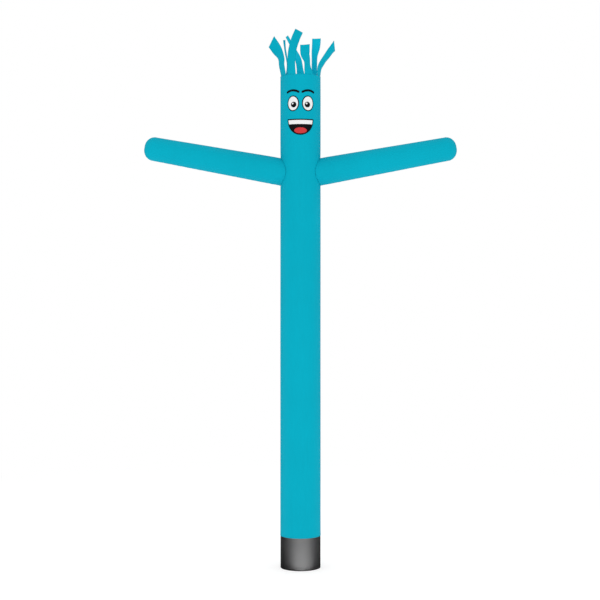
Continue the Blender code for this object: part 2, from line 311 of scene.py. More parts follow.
STITCH_UNEVEN = (0.9, 1.08)
STITCH_SEED = 7
THREAD_UP = 0.012          # between the points of an upright line of thread
THREAD_ROUND = 0.010       # of one round the tube
THREAD_TURN = math.radians(3)  # of one round an arm
FELL_THREAD_ENDS = (0.004, 0.003)  # above the tube's bottom and below its top
STEP_ACROSS = 0.0185       # between points of the plain cloth
STEP_UP = 0.0165
FINE_STEP = 0.0095         # near an arm's hole
FRONT_STEP = 0.011         # across the front, under the face
FOOT_STEP = 0.010
CROWN_STEP = 0.008
BAND_STEP = 0.006          # on a seam's band or hem
SLOPE_STEP = 0.001         # on the slope at its edge
RIM_MOVES = 4              # moves that bring a hole's rim onto the arm's bore
ROOT_LIMIT = 0.4           # an arm meets the tube's face before this reach
ROOT_HALVINGS = 30


def waves(places, terms):
    """An uneven ripple from 0 to 1. Each term is a number of turns per unit and a phase."""
    total = sum(np.sin(2 * np.pi * turns * places + phase) for turns, phase in terms)
    return 0.5 + 0.5 * total / len(terms)


def eased(share):
    share = np.clip(share, 0, 1)
    return share * share * (3 - 2 * share)


def grown(distance, start, width):
    """0 up to a start, and 1 from a width further on."""
    return eased((distance - start) / width)


def band(place, width):
    """A felled seam's raised band, 1 on it and 0 beside it, with steep edges."""
    return eased(place / SEAM_SLOPE) * eased((width - place) / SEAM_SLOPE)


def swell(turn, run, lobes, twist, fade, phase):
    """The uneven swell of taut cloth, round a tube and along it."""
    return SWELL * np.sin(lobes * turn + twist * run) * np.sin(fade * run + phase)


def between_ends(height, below_crown, above_hem, width):
    """0 near the tube's crown and hem, whose seams hold the cloth, and 1 between them."""
    from_crown, from_hem = TUBE_TOP - height, height - TUBE_BOTTOM
    return grown(from_crown, below_crown, width) * grown(from_hem, above_hem, width)


def gathers(places, distance, depth, fade, terms):
    """Uneven gathers along a seam, which fade with the distance from it."""
    return depth * waves(places, terms) * np.exp(-distance / fade)


def arm_radius(reach):
    return ARM_RADIUS - ARM_TAPER * reach


def arm_axes(side):
    """The directions along an arm and up from it."""
    along = np.array([side * math.cos(ARM_SLOPE), 0, math.sin(ARM_SLOPE)])
    up = np.array([-side * math.sin(ARM_SLOPE), 0, math.cos(ARM_SLOPE)])
    return along, up


def off_arm(points, side):
    """How far points lie outside an arm's surface, how far along it, and the angle round it."""
    along, up = arm_axes(side)
    apart = points - np.array([0, 0, ARM_HEIGHT])
    reach = apart @ along
    turn = np.arctan2(-apart[..., 1], apart @ up)
    out = np.hypot(apart[..., 1], apart @ up) - arm_radius(reach)
    return np.where(reach > 0, out, 1.0), reach, turn


def root_gathers(turn, distance, side):
    """The gathers where an arm is sewn on, in the tube's cloth and in the arm's."""
    terms = ((13, 0.4 * side), (9, 1.9), (21, 2.6 + side))
    return gathers(turn / (2 * np.pi), distance, *ROOT_GATHERS, terms)


def around(angle, out):
    """Places round the body's axis, from the front: their X and Y."""
    return out * np.sin(angle), -out * np.cos(angle)


def on_body(across, height, stand):
    """Points that lie stand out from the true tube, at a length across and a height."""
    across, height, out = np.broadcast_arrays(across, height, TUBE_RADIUS + stand)
    return np.stack([*around(across / TUBE_RADIUS, out), height], axis=-1)


def tube_stand(across, height):
    """How far the tube's cloth stands out of the true cylinder. Seams draw it in."""
    angle = across / TUBE_RADIUS
    turns = angle / (2 * np.pi)
    from_fell = HALF_ROUND - np.abs(across)
    from_crown = TUBE_TOP - height
    from_hem = height - TUBE_BOTTOM
    stand = swell(angle, height, *TUBE_SWELL) * between_ends(height, *SWELL_GROWS)
    stand -= gathers(height, from_fell, *FELL_GATHERS) * between_ends(height, *FELL_GATHERS_GROW)
    stand += FELL_STAND * band(across + HALF_ROUND, FELL)
    stand -= gathers(turns, from_crown, *CROWN_GATHERS) * grown(from_crown, CROWN_SEAM, CROWN_SEAM)
    stand += gathers(turns, from_hem, *HEM_GATHERS)
    stand += HEM_STAND * eased((HEM + SEAM_SLOPE - from_hem) / SEAM_SLOPE)
    for _, side in ARM_SIDES:
        out, _, turn = off_arm(on_body(across, height, 0), side)
        stand -= root_gathers(turn, np.maximum(out, 0), side)
    return stand


def spaced(start, *runs):
    """Places along a line, in runs. Each run is where it ends and its longest step."""
    places = []
    for end, step in runs:
        places.append(np.linspace(start, end, math.ceil((end - start) / step) + 1))
        start = end
    return np.unique(np.round(np.concatenate(places), 6))


def panel_columns(seam_width, step, *runs):
    """Places across a panel, alike on both halves and close together by its seam."""
    seam = HALF_ROUND - seam_width
    half = spaced(0, *runs, (seam - SEAM_SLOPE, step), (seam, SLOPE_STEP),
                  (HALF_ROUND - SEAM_SLOPE, BAND_STEP), (HALF_ROUND, SLOPE_STEP))
    return np.unique(np.concatenate([-half, half]))


def grid_faces(rows, columns):
    """Squares between points that are numbered row by row."""
    numbers = np.arange(rows * columns).reshape(rows, columns)
    corners = (numbers[:-1, :-1], numbers[:-1, 1:], numbers[1:, 1:], numbers[1:, :-1])
    return np.stack(corners, axis=-1).reshape(-1, 4)


def lay_cloth(name, points, flat, stand=None, faces=None):
    """A mesh through rows of points. flat is where they lie on the flat cloth, in metres."""
    if faces is None:
        faces = grid_faces(*points.shape[:2])
    mesh = bpy.data.meshes.new(name)
    mesh.from_pydata(points.reshape(-1, 3).tolist(), [], faces.tolist())
    weave = mesh.uv_layers.new(name="cloth")
    corners = np.empty(len(mesh.loops), np.int32)
    mesh.loops.foreach_get("vertex_index", corners)
    weave.data.foreach_set("uv", flat.reshape(-1, 2)[corners].astype(np.float32).ravel())
    if stand is not None:
        kept = mesh.attributes.new("stand", "FLOAT", "POINT")
        kept.data.foreach_set("value", np.asarray(stand, np.float32).ravel())
    mesh.shade_smooth()
    return mesh


def new_tree(name, sizes):
    """The bench and inputs of a tree that takes a mesh and named sizes, and gives a mesh."""
    tree = bpy.data.node_groups.new(name, "GeometryNodeTree")
    tree.interface.new_socket("Geometry", in_out="INPUT", socket_type="NodeSocketGeometry")
    for label, kind in sizes.items():
        tree.interface.new_socket(label, in_out="INPUT", socket_type="NodeSocket" + kind)
    tree.interface.new_socket("Geometry", in_out="OUTPUT", socket_type="NodeSocketGeometry")
    bench = Bench(tree)
    return bench, bench.add("NodeGroupInput")


def close_tree(bench, given, shape):
    """Ends a tree with real points in the finish that it is given."""
    shape = bench.add("GeometryNodeRealizeInstances", {"Geometry": shape})
    inputs = {"Geometry": shape, "Material": given.out("Finish")}
    bench.add("NodeGroupOutput", {0: bench.add("GeometryNodeSetMaterial", inputs)})
    return bench


def work(piece, bench, **sizes):
    """Puts a tree on a piece, with its named sizes."""
    modifier = piece.modifiers.new(bench.tree.name, "NODES")
    modifier.node_group = bench.tree
    for item in bench.tree.interface.items_tree:
        if item.in_out == "INPUT" and item.name in sizes:
            modifier[item.identifier] = sizes[item.name]


def thicken(piece, thickness, inside=None):
    """Gives a sheet its thickness, laid inwards from the face. Its inside may differ."""
    wall = piece.modifiers.new("thickness", "SOLIDIFY")
    wall.thickness = thickness
    wall.offset = -1
    if inside:
        piece.data.materials.append(inside)
        wall.material_offset = 1


def settle(piece, node=None):
    """Makes a piece's modifiers its plain mesh, hangs it on the root body, and hides the part of
    the node it stands for.
    """
    bpy.context.view_layer.update()
    graph = bpy.context.evaluated_depsgraph_get()
    flat_mesh = piece.data
    piece.data = bpy.data.meshes.new_from_object(
        piece.evaluated_get(graph), preserve_all_data_layers=True, depsgraph=graph)
    piece.data.name = piece.name
    piece.modifiers.clear()
    bpy.data.meshes.remove(flat_mesh)
    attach(piece, "root")
    if node:
        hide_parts(node)


def roll_tree():
    """Rolls a flat panel round the body's axis: X runs round it, Z up it."""
    bench, given = new_tree("roll_round_body", {"Radius": "Float", "Finish": "Material"})
    place = bench.add("GeometryNodeInputPosition")
    place = bench.add("ShaderNodeSeparateXYZ", {0: place})
    stand = bench.add("GeometryNodeInputNamedAttribute", {"Name": "stand"}, data_type="FLOAT")
    radius = given.out("Radius")
    angle = place.out("X") / radius
    out = radius + stand
    rolled = bench.add("ShaderNodeCombineXYZ", {
        "X": angle.sin() * out, "Y": angle.cos() * out * -1, "Z": place.out("Z")})
    shape = bench.add("GeometryNodeSetPosition", {
        "Geometry": given.out("Geometry"), "Position": rolled})
    shape = bench.add("GeometryNodeMergeByDistance", {"Geometry": shape, "Distance": 2e-5})
    return close_tree(bench, given, shape)


def sewing_tree():
    """Lays a row of thread stitches along a line."""
    sizes = {"Pitch": "Float", "Stitch": "Float", "Thread": "Float", "Seed": "Int",
             "Finish": "Material"}
    bench, given = new_tree("sew_along", sizes)
    line = bench.add("GeometryNodeMeshToCurve", {"Mesh": given.out("Geometry")})
    line = bench.add("GeometryNodeResampleCurve", {"Curve": line, "Length": given.out("Pitch")},
                     mode="LENGTH")
    along = bench.add("GeometryNodeInputTangent")
    turn = bench.add("FunctionNodeAlignRotationToVector", {"Vector": along}, axis="X")
    least, most = STITCH_UNEVEN
    uneven = bench.add("FunctionNodeRandomValue", {2: least, 3: most, "Seed": given.out("Seed")},
                       1, data_type="FLOAT")
    half = given.out("Stitch") * uneven / 2
    thread = given.out("Thread")
    size = bench.add("ShaderNodeCombineXYZ", {"X": half, "Y": thread, "Z": thread})
    stitch = bench.add("GeometryNodeMeshIcoSphere", {"Radius": 1.0, "Subdivisions": 1})
    stitch = bench.add("GeometryNodeSetShadeSmooth", {"Geometry": stitch})
    rows = bench.add("GeometryNodeInstanceOnPoints", {
        "Points": line, "Instance": stitch, "Rotation": turn, "Scale": size})
    return close_tree(bench, given, rows)


def sew(name, lines, finish, pitch=0.007, thread=0.0006):
    """Stitches along lines of points. A line is a list of points and whether it is a loop."""
    bm = bmesh.new()
    for points, loop in lines:
        places = [bm.verts.new(point) for point in points]
        for start, end in zip(places, places[1:]):
            bm.edges.new((start, end))
        if loop:
            bm.edges.new((places[-1], places[0]))
    piece = put(name, mesh_from(bm, name))
    work(piece, sewing, Pitch=pitch, Stitch=pitch * STITCH_SHARE, Thread=thread,
         Seed=STITCH_SEED, Finish=finish)
    settle(piece)
    return piece


def new_finish(name, roughness, specular, **fixed):
    """A material, its bench and its shader's sockets, set to what is the same all over."""
    material = bpy.data.materials.new(name)
    bench = clear_bench(material)
    inputs = {"Roughness": roughness, "Specular IOR Level": specular, **fixed}
    shader = bench.add("ShaderNodeBsdfPrincipled", inputs)
    bench.add("ShaderNodeOutputMaterial", {"Surface": shader})
    return material, bench, shader.socket.node.inputs


def plug(sockets, **wires):
    """Links wires to a shader's sockets, which are named with _ for each space."""
    for name, wire in wires.items():
        wire.bench.tree.links.new(wire.socket, sockets[name.replace("_", " ")])


def shade(colour, share):
    return (*(channel * share for channel in colour), 1.0)


def mottle(bench, scale, detail, stretch=(1, 1, 1)):
    """Soft uneven patches, about 0 to 1, in the piece's own space."""
    place = bench.add("ShaderNodeTexCoord").out("Object")
    place = bench.add("ShaderNodeMapping", {"Vector": place, "Scale": stretch})
    inputs = {"Vector": place, "Scale": scale, "Detail": detail}
    return bench.add("ShaderNodeTexNoise", inputs)


def flat_place(bench):
    """Where a point lies on the flat cloth, in metres: X across it and Y along it."""
    flat = bench.add("ShaderNodeUVMap", uv_map="cloth")
    return bench.add("ShaderNodeSeparateXYZ", {0: flat})


def ripstop_cloth(name, painted_light=1.0, hot_cut=False):
    """Fine taffeta with a square of thicker yarns. A hot cut edge is melted and darker.
    A share above 1 paints the whole cloth paler, as painted light.
    """
    material, bench, sockets = new_finish(name, 0.55, 0.05)
    flat = flat_place(bench)
    upright, level = (flat.out(way).to_nearest(RIPSTOP).rise(*RIPSTOP_YARN, 1.0, 0.0)
                      for way in "XY")
    yarns = upright.larger(level)
    clouds = mottle(bench, 2.2, 3.0)
    streaks = mottle(bench, 9.0, 2.0, (9, 9, 0.6))
    tone = 0.5 + (clouds - 0.5) * 0.9 + (streaks - 0.5) * 0.5 - yarns * 0.16
    # a share above 1 paints the teal paler all over: painted light
    colour = bench.blend(tone, *(shade(TEAL, share * painted_light) for share in TEAL_TONES))
    if hot_cut:
        inside = bench.add("ShaderNodeAttribute", output="Fac", attribute_name="from_edge")
        melted = inside.rise(*MELTED, MELTED_SHARE, 0.0)
        colour = bench.blend(melted, colour, shade(TEAL, MELTED_TONE))
    plug(sockets, Base_Color=colour, Normal=(yarns + streaks * 0.3).bump(0.35, 0.0004),
         Roughness=0.52 + clouds * 0.10 - yarns * 0.05)
    return material


def thread_finish(name, colour):
    """Twisted polyester thread."""
    material, bench, sockets = new_finish(name, 0.5, 0.3)
    twist = mottle(bench, 700.0, 1.0)
    tones = (shade(colour, share) for share in THREAD_TONES)
    plug(sockets, Base_Color=bench.blend(twist, *tones), Roughness=0.45 + twist * 0.15)
    return material


def cut_hole(across, height, faces, side):
    """Takes an arm's hole out of the tube's panel, with the cloth's edge on the arm's bore."""
    def inside(place):
        return off_arm(on_body(*place, 0), side)[0] + CLOTH
    place = np.array([across, height])
    out = inside(place)
    faces = faces[(out[faces] >= 0).any(axis=1)]
    rim = np.unique(faces[out[faces] < 0])
    step = 1e-5
    for _ in range(RIM_MOVES):
        here = inside(place[:, rim])
        slope = np.array([inside(place[:, rim] + [[step], [0]]) - here,
                          inside(place[:, rim] + [[0], [step]]) - here]) / step
        place[:, rim] -= here * slope / (slope ** 2).sum(axis=0)
    return place[0], place[1], faces


def make_tube(finish):
    hole_start, hole_end = 0.2, 0.5 * HALF_ROUND + 0.175
    back = HALF_ROUND - 0.1
    columns = panel_columns(FELL, FRONT_STEP, (hole_start, STEP_ACROSS), (hole_end, FINE_STEP),
                            (back, STEP_ACROSS))
    foot, hole_low, hole_high, crown = 0.46, 4.24, 4.73, 5.45
    hem_end = TUBE_BOTTOM + HEM
    rows = spaced(TUBE_BOTTOM, (hem_end, BAND_STEP), (hem_end + SEAM_SLOPE, SLOPE_STEP),
                  (foot, FOOT_STEP), (hole_low, STEP_UP), (hole_high, FINE_STEP),
                  (crown, STEP_UP), (TUBE_TOP, CROWN_STEP))
    across, height = (grid.ravel() for grid in np.meshgrid(columns, rows))
    faces = grid_faces(len(rows), len(columns))
    for _, side in ARM_SIDES:
        across, height, faces = cut_hole(across, height, faces, side)
    used, faces = np.unique(faces, return_inverse=True)
    across, height = across[used], height[used]
    points = np.stack([across, 0 * across, height], axis=-1)
    flat = np.stack([across, height], axis=-1)
    mesh = lay_cloth("body_tube_cloth", points, flat, tube_stand(across, height),
                     faces.reshape(-1, 4))
    tube = put(mesh.name, mesh)
    work(tube, roll, Radius=TUBE_RADIUS, Finish=finish)
    thicken(tube, CLOTH)
    settle(tube, "body_tube")
    return tube


def on_tube(across, height, lift):
    """Points on the tube's cloth as it stands, lift above its face."""
    return on_body(across, height, tube_stand(across, height) + lift)


def meet_tube(side, turn, wider, lift):
    """The reach at which an arm, made wider by an allowance, comes through the tube's face."""
    low, high = np.zeros_like(turn), np.full_like(turn, ROOT_LIMIT)
    for _ in range(ROOT_HALVINGS):
        reach = (low + high) / 2
        points = on_arm(side, reach, turn, arm_radius(reach) + wider)
        across = np.arctan2(points[..., 0], -points[..., 1]) * TUBE_RADIUS
        face = TUBE_RADIUS + tube_stand(across, points[..., 2]) + lift
        outside = np.hypot(points[..., 0], points[..., 1]) > face
        high = np.where(outside, reach, high)
        low = np.where(outside, low, reach)
    return (low + high) / 2


def on_arm(side, reach, turn, radius):
    """Points at a reach along an arm, an angle round it from its top, and a radius."""
    along, up = arm_axes(side)
    front = np.array([0, -1, 0])
    reach, turn, radius = (np.asarray(a)[..., None] for a in (reach, turn, radius))
    ring = np.cos(turn) * up + np.sin(turn) * front
    return np.array([0, 0, ARM_HEIGHT]) + reach * along + radius * ring


def tube_seams():
    """Rows of stitches down the felled seam, round the crown and the hem, and by each arm."""
    start, end = FELL_THREAD_ENDS
    up = np.arange(TUBE_BOTTOM + start, TUBE_TOP - end, THREAD_UP)
    across = np.arange(-HALF_ROUND, HALF_ROUND, THREAD_ROUND)
    hems = [TUBE_BOTTOM + rise for rise in HEM_STITCHES]
    lines = [(on_tube(inset - HALF_ROUND, up, THREAD_LIFT), False) for inset in FELL_STITCHES]
    lines += [(on_tube(across, z, THREAD_LIFT), True) for z in (TUBE_TOP - CROWN_STITCH, *hems)]
    turn = np.arange(0, 2 * math.pi, THREAD_TURN)
    for _, side in ARM_SIDES:
        reach = meet_tube(side, turn, ROOT_STITCH, THREAD_LIFT)
        lines.append((on_arm(side, reach, turn, arm_radius(reach) + ROOT_STITCH), True))
    return lines


roll = roll_tree()
sewing = sewing_tree()
ripstop = ripstop_cloth("teal_ripstop_cloth")
teal_thread = thread_finish("teal_thread", TEAL_THREAD)
tube = make_tube(ripstop)
tube_stitches = sew("tube_stitches", tube_seams(), teal_thread)


# Crown panel ----------------------------------------------------------------------------
# A round disc of the same nylon closes the tube's top. Its edge is turned down inside the
# tube and sewn there, and the air domes it a little.

CROWN_RADIUS = 0.2253
CROWN_RISE = 0.024
CROWN_BEND = 0.004         # radius of the turned edge
CROWN_SPOKES = 128
CROWN_RINGS = 17
CROWN_CROWDING = 0.8       # under 1, so that rings lie closer towards the edge
CROWN_BEND_RINGS = 4
DOME_GATHERS = (0.0024, 0.030, ((41, 0.0), (29, 1.3), (53, 2.4)))
GATHERED_ABOVE = 0.001     # the tube's top


def close_up(mesh):
    """Joins the points that meet at a seam or a pole."""
    bm = bmesh.new()
    bm.from_mesh(mesh)
    bmesh.ops.remove_doubles(bm, verts=bm.verts, dist=1e-6)
    bm.to_mesh(mesh)
    bm.free()


def teal_piece(mesh, node, finish, thickness, inside=None):
    """Makes a laid cloth the piece that stands for a node."""
    piece = put(mesh.name, mesh)
    mesh.materials.append(finish)
    thicken(piece, thickness, inside)
    settle(piece, node)
    return piece


def make_crown(finish):
    turns = np.linspace(-math.pi, math.pi, CROWN_SPOKES + 1)
    flat_part = np.linspace(0, 1, CROWN_RINGS + 1) ** CROWN_CROWDING
    flat_part *= CROWN_RADIUS - CROWN_BEND
    bend = np.linspace(0, math.pi / 2, CROWN_BEND_RINGS + 1)[1:]
    dome = CROWN_RISE * (1 - (flat_part / CROWN_RADIUS) ** 2)
    radii = [*flat_part, *(CROWN_RADIUS - CROWN_BEND * (1 - np.sin(bend))),
             CROWN_RADIUS, CROWN_RADIUS]
    heights = [*dome, *(dome[-1] - CROWN_BEND * (1 - np.cos(bend))),
               -CROWN_SEAM / 2, -CROWN_SEAM]
    radius, turn = np.meshgrid(radii, turns, indexing="ij")
    height = np.repeat(np.array(heights)[:, None], len(turns), axis=1)
    on_dome = height > GATHERED_ABOVE
    height -= gathers(turn / (2 * np.pi), CROWN_RADIUS - radius, *DOME_GATHERS) * on_dome
    points = np.stack([*around(turn, radius), TUBE_TOP + height], axis=-1)
    run = np.concatenate([[0], np.cumsum(np.hypot(np.diff(radii), np.diff(heights)))])
    flat = np.stack(around(turn, run[:, None]), axis=-1)
    mesh = lay_cloth("crown_cloth", points[::-1], flat[::-1])
    close_up(mesh)
    crown = teal_piece(mesh, "crown_panel", finish, CLOTH)


make_crown(ripstop)


# Arms -----------------------------------------------------------------------------------
# Two tapered sleeves of the same nylon, each sewn round its hole in the tube and felled
# along its underside. The outer end is gathered to a point and bound, and air rounds it out.

ARM_REACH = 1.799
ARM_END_ROUND = 0.114      # radius of the rounded end
ARM_END_FLAT = 0.020
ARM_END = ARM_REACH - ARM_END_ROUND
ARM_PLEATS = 26
ARM_PLEAT_DEPTH = 0.004
ARM_PLEAT_SHARE = 0.07     # most of a ring's radius that a pleat takes
ARM_DIMPLE = 0.006
ARM_HUB = (0.014, 0.009, 0.005, 0.0)  # radii of the rings in the bound middle
ARM_CAP_RINGS = 21
UNDERARM_GATHERS = (0.0028, 0.040)  # depth and fade beside the felled seam
ROOT_STAND = 0.0008        # how far the turned edge at the root stands out
ROOT_STAND_WIDTH = 0.006
ARM_SWELL = (2, 4, 5)      # like the tube's, with a phase for each side
# runs over which things grow: the swell from the root and the tip, the rest from the root
ARM_SWELL_GROWS = (0.1, 0.2)
UNDERARM_GROWS = 0.04
ARM_FELL_GROWS = 0.02
# rows along an arm: where each run ends and its longest step, as shares of the arm's run
ARM_ROWS = ((0.012, 0.004), (0.09, 0.0058), (1, 0.0125))
ARM_FELL_SLOPE = 0.013     # in radians round the arm, as its steps are
ARM_SLOPE_STEP = 0.007
ARM_FELL_STEP = 0.03
ARM_STEP = 0.062


def arm_stand(reach, turn, root, side):
    """How far an arm's cloth stands out of its true taper."""
    under = np.abs(np.abs(turn) - math.pi) * ARM_RADIUS
    from_root = reach - root
    by_root, by_tip = ARM_SWELL_GROWS
    stand = swell(turn, reach, *ARM_SWELL, side)
    stand *= eased(from_root / by_root) * eased((ARM_END - reach) / by_tip)
    terms = ((13.1, 0.8 * side), (8.3, 1.1), (17.7, 2.0))
    drawn = gathers(reach, under, *UNDERARM_GATHERS, terms)
    stand -= drawn * eased(from_root / UNDERARM_GROWS)
    felled = band((turn + math.pi) * ARM_RADIUS, FELL)
    stand += FELL_STAND * felled * eased(from_root / ARM_FELL_GROWS)
    stand -= root_gathers(turn, from_root, side)
    stand += ROOT_STAND * eased(1 - from_root / ROOT_STAND_WIDTH)
    return stand


def arm_rows(side, turns):
    """Reach and radius for each row round an arm, from its root to its tip."""
    root = meet_tube(side, turns, 0.0, GAP)
    shares = spaced(0, *ARM_ROWS)
    reach = root + shares[:, None] * (ARM_END - root)
    radius = arm_radius(reach) + arm_stand(reach, turns, root, side)
    bend = np.linspace(0, math.pi / 2, ARM_CAP_RINGS + 1)[1:, None]
    cap_radius = ARM_END_FLAT + ARM_END_ROUND * np.cos(bend) + 0 * turns
    cap_reach = ARM_END + ARM_END_ROUND * np.sin(bend) + 0 * turns
    hub = np.array(ARM_HUB)[:, None] + 0 * turns
    hub_reach = ARM_REACH - ARM_DIMPLE * (1 - (hub / ARM_END_FLAT) ** 2)
    cap_radius = np.concatenate([cap_radius, hub])
    cap_reach = np.concatenate([cap_reach, hub_reach])
    pleat = waves(turns / (2 * np.pi), ((ARM_PLEATS, 0.3 * side), (ARM_PLEATS, 0.9)))
    nearness = 1 - cap_radius / (ARM_END_FLAT + ARM_END_ROUND)
    depth = np.minimum(ARM_PLEAT_DEPTH * eased(nearness), ARM_PLEAT_SHARE * cap_radius)
    sunk = depth * pleat
    lean = np.arctan2(cap_radius - ARM_END_FLAT, cap_reach - ARM_END)
    lean = np.where(cap_radius > ARM_END_FLAT, lean, 0)
    cap_radius = cap_radius - sunk * np.sin(lean)
    cap_reach = cap_reach - sunk * np.cos(lean)
    return np.concatenate([reach, cap_reach]), np.concatenate([radius, cap_radius])


def make_arm(label, side, finish):
    fell_start, fell_end = SEAM_SLOPE / ARM_RADIUS - math.pi, FELL / ARM_RADIUS - math.pi
    turns = spaced(-math.pi, (fell_start, ARM_SLOPE_STEP),
                   (fell_end - ARM_FELL_SLOPE, ARM_FELL_STEP), (fell_end, ARM_SLOPE_STEP),
                   (math.pi, ARM_STEP))
    reach, radius = arm_rows(side, turns)
    points = on_arm(side, reach, turns + 0 * reach, radius)
    length = np.hypot(np.diff(reach, axis=0), np.diff(radius, axis=0)).cumsum(axis=0)
    along = np.concatenate([reach[:1], reach[:1] + length])
    flat = np.stack([turns * ARM_RADIUS + 0 * reach, along], axis=-1)
    mesh = lay_cloth(f"arm_{label}_cloth", points[:, ::-side], flat[:, ::-side])
    close_up(mesh)
    arm = teal_piece(mesh, f"arm_{label}", finish, CLOTH)
    seams = []
    for inset in FELL_STITCHES:
        column = int(np.argmin(np.abs(turns + math.pi - inset / ARM_RADIUS)))
        run = reach[1:-3, column]
        out = radius[1:-3, column] + THREAD_LIFT
        seams.append((on_arm(side, run, turns[column] + 0 * run, out), False))
    stitches = sew(f"arm_{label}_stitches", seams, teal_thread)
    round_root = 2 * math.pi * arm_radius(TUBE_RADIUS)


for label, side in ARM_SIDES:
    make_arm(label, side, ripstop)


# Foot cuff ------------------------------------------------------------------------------
# A sleeve of heavier black coated polyester that slips over a blower's outlet. Its lower edge
# is turned in and double stitched, its ends lap at the back, and the tube's hem is sewn over
# its top.

CUFF_RADIUS = 0.2268
CUFF_CLOTH = 0.0020
CUFF_TOP = TUBE_BOTTOM + CUFF_LAP
CUFF_HEM = 0.040
CUFF_HEM_STEP = 0.004
CUFF_HEM_STITCHES = (CUFF_HEM - 0.004, CUFF_HEM - 0.012)
CUFF_FOLD = 0.0014         # radius of the turned bottom edge
CUFF_CHAMFER = 0.0005      # at the upper edge
CUFF_LAP_WIDTH = 0.022     # width of the lapped seam at the back
CUFF_LAP_STAND = 0.0010
CUFF_LAP_STITCHES = (0.005, CUFF_LAP_WIDTH - 0.005)
CUFF_BUCKLES = ((5, 0.6), (8, 2.0))
CUFF_BUCKLE_DEPTH = 0.0012
CUFF_FREE = 0.06           # run below the tube's hem over which it is let go
CUFF_STEP = 0.013
CUFF_OUTER_ROWS = 27
CUFF_INNER_ROWS = 13
CUFF_FOLD_STEPS = 3
CUFF_HEM_ROWS = (0.3, 0.65, 1)  # shares of the hem's height
CUFF_THREAD_UP = 0.010
CUFF_THREAD_ENDS = (0.006, 0.002)  # above the floor and below the tube's hem
SCRIM = 0.0030             # pitch of the cloth under the coating
BLACK_COATING = (0.006, 0.006, 0.007)
COATING_TONES = (0.85, 2.2)  # shares of the black where it is clean and where it is worn
SCUFFED = 0.12             # height up to which scuffs fade
BLACK_THREAD = (0.012, 0.012, 0.014)


def coated_cloth():
    """Black coated polyester: a smooth satin skin with its cloth just showing through."""
    material, bench, sockets = new_finish(
        "black_coating", 0.6, 1.0, **{"Coat Weight": 1.0, "Coat Roughness": 0.6})
    flat = flat_place(bench)
    weft, warp = (flat.out(way).to_nearest(SCRIM).rise(0.0, SCRIM / 2) for way in "XY")
    scuffs = mottle(bench, 26.0, 5.0, (1, 1, 2.5)).rise(0.55, 0.78)
    low = flat.out("Y").rise(0.0, SCUFFED, 1.0, 0.25)
    worn = scuffs * low
    clouds = mottle(bench, 6.0, 2.0)
    tones = (shade(BLACK_COATING, share) for share in COATING_TONES)
    colour = bench.blend(worn * 0.6 + clouds * 0.25, *tones)
    plug(sockets, Base_Color=colour, Normal=weft.larger(warp).bump(0.4, 0.0004),
         Roughness=0.70 + worn * 0.12 + clouds * 0.08)
    return material


def cuff_stand(across, height):
    """Soft upright buckles, and the lap of one end over the other at the back."""
    turns = across / TUBE_RADIUS / (2 * np.pi)
    free = eased((CUFF_TOP - CUFF_LAP - height) / CUFF_FREE)
    stand = CUFF_BUCKLE_DEPTH * (waves(turns, CUFF_BUCKLES) - 0.5) * free
    return stand + CUFF_LAP_STAND * band(across + HALF_ROUND, CUFF_LAP_WIDTH) * free


def make_cuff(finish):
    outer = CUFF_RADIUS - TUBE_RADIUS
    inner, hem = outer - CUFF_CLOTH, outer - 2 * CUFF_CLOTH
    fold = np.linspace(0, math.pi / 2, CUFF_FOLD_STEPS + 1)
    section = [(inner, CUFF_TOP - CUFF_CHAMFER), (inner + CUFF_CHAMFER, CUFF_TOP)]
    section += [(outer - CUFF_CHAMFER, CUFF_TOP), (outer, CUFF_TOP - CUFF_CHAMFER)]
    section += [(outer, z) for z in np.linspace(CUFF_TOP, 0, CUFF_OUTER_ROWS + 1)[1:-1]]
    section += [(outer - CUFF_FOLD * (1 - math.cos(a)), CUFF_FOLD * (1 - math.sin(a)))
                for a in fold]
    section += [(hem + CUFF_FOLD * (1 - math.sin(a)), CUFF_FOLD * (1 - math.cos(a)))
                for a in fold]
    section += [(hem, CUFF_HEM * share) for share in CUFF_HEM_ROWS]
    rows = np.linspace(CUFF_HEM + CUFF_HEM_STEP, CUFF_TOP, CUFF_INNER_ROWS + 1)
    section += [(inner, z) for z in rows[:-1]]
    section += section[:1]
    stands, heights = (np.array(part) for part in zip(*section))
    across, height = np.meshgrid(panel_columns(CUFF_LAP_WIDTH, CUFF_STEP), heights)
    stand = stands[:, None] + cuff_stand(across, height)
    run = np.concatenate([[0], np.hypot(np.diff(stands), np.diff(heights)).cumsum()])
    upper_edge = run[3]    # from the inside, over the top, to the outer face
    down = (CUFF_TOP + upper_edge - run)[:, None] + 0 * across
    points = np.stack([across, 0 * across, height], axis=-1)
    flat = np.stack([across, down], axis=-1)
    mesh = lay_cloth("base_cuff_cloth", points[:, ::-1], flat[:, ::-1], stand[:, ::-1])
    cuff = put(mesh.name, mesh)
    work(cuff, roll, Radius=TUBE_RADIUS, Finish=finish)
    settle(cuff, "base_cuff")
    return cuff


def on_cuff(across, height):
    """Points just above the cuff's cloth, where its thread runs."""
    outer = CUFF_RADIUS - TUBE_RADIUS + THREAD_LIFT
    return on_body(across, height, outer + cuff_stand(across, height))


coating = coated_cloth()
black_thread = thread_finish("black_thread", BLACK_THREAD)
cuff = make_cuff(coating)
cuff_across = np.arange(-HALF_ROUND, HALF_ROUND, THREAD_ROUND)
cuff_up = np.arange(CUFF_THREAD_ENDS[0], TUBE_BOTTOM - CUFF_THREAD_ENDS[1], CUFF_THREAD_UP)
cuff_lines = [(on_cuff(cuff_across, height), True) for height in CUFF_HEM_STITCHES]
cuff_lines += [(on_cuff(inset - HALF_ROUND, cuff_up), False) for inset in CUFF_LAP_STITCHES]
cuff_stitches = sew("cuff_stitches", cuff_lines, black_thread)
foot = bpy.data.collections.new("lit_by_card")
foot.objects.link(cuff)
foot.objects.link(cuff_stitches)
card.light_linking.receiver_collection = foot
